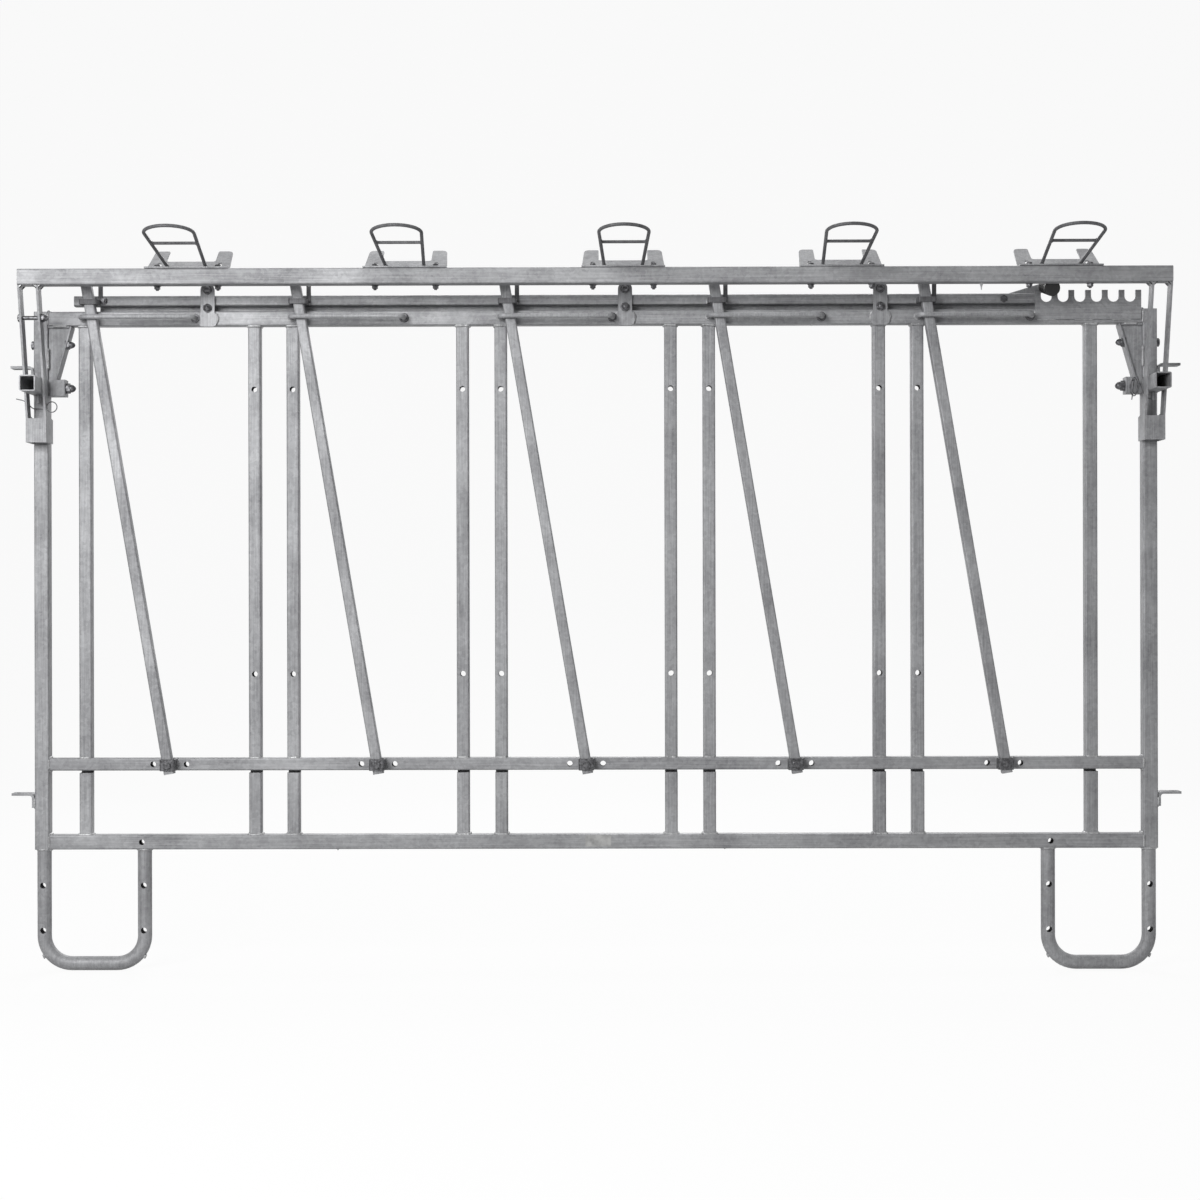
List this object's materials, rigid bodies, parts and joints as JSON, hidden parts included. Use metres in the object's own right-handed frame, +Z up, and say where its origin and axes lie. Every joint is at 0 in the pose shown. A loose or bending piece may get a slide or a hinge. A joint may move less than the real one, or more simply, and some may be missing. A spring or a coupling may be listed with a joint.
{
  "type": "calf headlock",
  "caption": "Headlock panel for calves: tube frame with swinging yoke bars on one slider, a comb with a lifting lever, and a beam of wire loop holders in front.",
  "frame": {"origin": "middle of the bottom rail, on its rear face (the face away from the calves' feed side shown in the picture)", "axes": "+Z up, +X along the rails, to the right as seen from the side with the beam and loops, +Y away from that side"},
  "size_m": [2.8056, 0.3962, 1.7319],
  "materials": {
    "galvanised_steel": "hot-dip galvanised, matt",
    "bolt_steel": "dull zinc on bolts",
    "black_rubber": "matt"
  },
  "bodies": {
    "frame": {"bottom_rail": "galvanised_steel", "main_rail": "galvanised_steel", "lower_rail": "galvanised_steel", "end_post_left": "galvanised_steel", "end_post_right": "galvanised_steel", "post_1": "galvanised_steel", "post_2": "galvanised_steel", "post_3": "galvanised_steel", "post_4": "galvanised_steel", "post_5": "galvanised_steel", "post_6": "galvanised_steel", "post_7": "galvanised_steel", "post_8": "galvanised_steel", "post_9": "galvanised_steel", "post_10": "galvanised_steel", "foot_hoop_left": "galvanised_steel", "foot_hoop_right": "galvanised_steel", "lug_left_lower": "galvanised_steel", "lug_left_upper": "galvanised_steel", "lug_right_lower": "galvanised_steel", "lug_right_upper": "galvanised_steel", "yoke_bolt_1": "bolt_steel", "yoke_bolt_2": "bolt_steel", "yoke_bolt_3": "bolt_steel", "yoke_bolt_4": "bolt_steel", "yoke_bolt_5": "bolt_steel", "rear_guide": "galvanised_steel", "slider_guide_1": "galvanised_steel", "slider_guide_2": "galvanised_steel", "slider_guide_3": "galvanised_steel", "guide_rod_1": "galvanised_steel", "guide_rod_2": "galvanised_steel", "guide_rod_3": "galvanised_steel", "guide_rod_4": "galvanised_steel", "guide_rod_5": "galvanised_steel", "comb_plate": "galvanised_steel", "top_beam": "galvanised_steel", "arm_left": "galvanised_steel", "arm_right": "galvanised_steel", "stub_left": "galvanised_steel", "stub_right": "galvanised_steel", "gusset_left": "galvanised_steel", "gusset_right": "galvanised_steel", "holder_1": "galvanised_steel", "holder_2": "galvanised_steel", "holder_3": "galvanised_steel", "holder_4": "galvanised_steel", "holder_5": "galvanised_steel"},
    "slider": {"slider": "galvanised_steel", "lever_pin": "galvanised_steel"},
    "lever": {"lever": "galvanised_steel", "grip": "black_rubber"},
    "yoke_1": {"yoke_1": "galvanised_steel"},
    "yoke_2": {"yoke_2": "galvanised_steel"},
    "yoke_3": {"yoke_3": "galvanised_steel"},
    "yoke_4": {"yoke_4": "galvanised_steel"},
    "yoke_5": {"yoke_5": "galvanised_steel"},
    "clip_pin_left": {"clip_pin_left": "galvanised_steel"},
    "clip_pin_right": {"clip_pin_right": "galvanised_steel"}
  },
  "joints": [
    {"name": "slider_slide", "type": "slide", "parent": "frame", "child": "slider", "axis": [1, 0, 0], "range_m": [0, 0.2]},
    {"name": "lever_lift", "type": "hinge", "parent": "slider", "child": "lever", "pos_m": [0.981, -0.003, 1.2993], "axis": [0, -1, 0], "range_deg": [-16.86, 0]},
    {"name": "clip_pin_pull_left", "type": "slide", "parent": "frame", "child": "clip_pin_left", "axis": [0, 0, 1], "range_m": [0, 0.06]},
    {"name": "clip_pin_pull_right", "type": "slide", "parent": "frame", "child": "clip_pin_right", "axis": [0, 0, 1], "range_m": [0, 0.06]},
    {"name": "yoke_swing_1", "type": "hinge", "parent": "frame", "child": "yoke_1", "pos_m": [-1.022, -0.053, 0.187], "axis": [0, 1, 0], "range_deg": [0, 10.23]},
    {"name": "yoke_swing_2", "type": "hinge", "parent": "frame", "child": "yoke_2", "pos_m": [-0.522, -0.053, 0.187], "axis": [0, 1, 0], "range_deg": [0, 10.23]},
    {"name": "yoke_swing_3", "type": "hinge", "parent": "frame", "child": "yoke_3", "pos_m": [-0.022, -0.053, 0.187], "axis": [0, 1, 0], "range_deg": [0, 10.23]},
    {"name": "yoke_swing_4", "type": "hinge", "parent": "frame", "child": "yoke_4", "pos_m": [0.478, -0.053, 0.187], "axis": [0, 1, 0], "range_deg": [0, 10.23]},
    {"name": "yoke_swing_5", "type": "hinge", "parent": "frame", "child": "yoke_5", "pos_m": [0.978, -0.053, 0.187], "axis": [0, 1, 0], "range_deg": [0, 10.23]}
  ],
  "couplings": [
    {"joint": "yoke_swing_1", "follows": "slider_slide", "rad_per_m": 0.8923},
    {"joint": "yoke_swing_2", "follows": "slider_slide", "rad_per_m": 0.8923},
    {"joint": "yoke_swing_3", "follows": "slider_slide", "rad_per_m": 0.8923},
    {"joint": "yoke_swing_4", "follows": "slider_slide", "rad_per_m": 0.8923},
    {"joint": "yoke_swing_5", "follows": "slider_slide", "rad_per_m": 0.8923}
  ]
}
